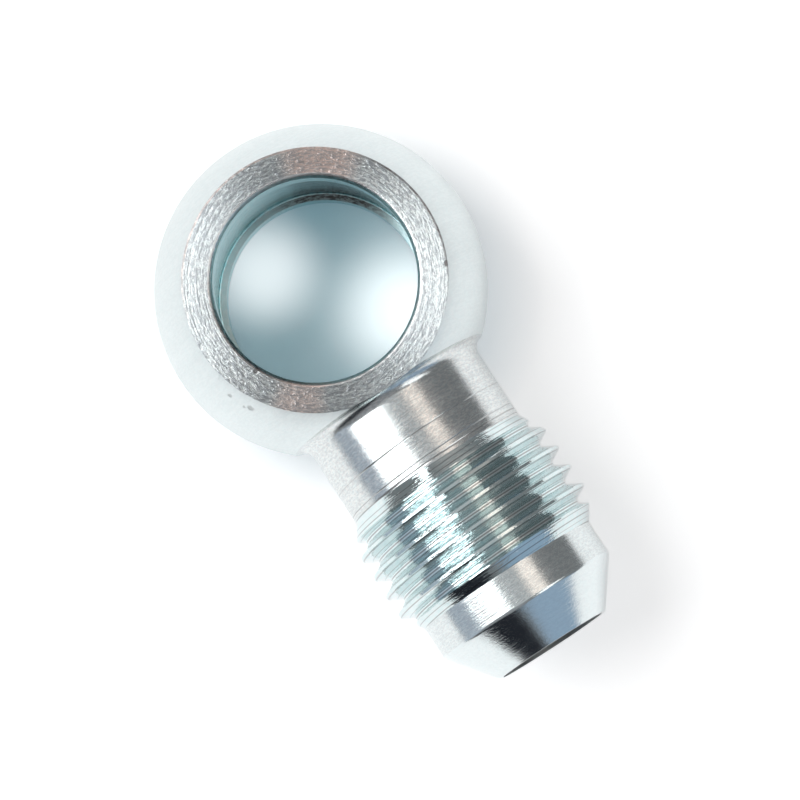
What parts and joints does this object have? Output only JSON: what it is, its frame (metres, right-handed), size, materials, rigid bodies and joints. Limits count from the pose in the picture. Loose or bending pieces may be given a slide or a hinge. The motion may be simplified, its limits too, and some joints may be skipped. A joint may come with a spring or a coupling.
{
  "type": "banjo fitting",
  "caption": "Steel banjo fitting turned from bar: a ball-shaped eye with a bolt bore and flat seal faces, and a threaded stem that ends in a flare cone.",
  "frame": {"origin": "middle of the banjo bore, half way between the two seal faces", "axes": "+Z along the banjo bore, +X along the stem towards the flare cone"},
  "size_m": [0.0371, 0.021, 0.0142],
  "materials": {
    "zinc_plated_steel": "bright blue-white zinc plate over turned steel"
  },
  "bodies": {
    "root": {"banjo_body": "zinc_plated_steel"}
  },
  "joints": []
}
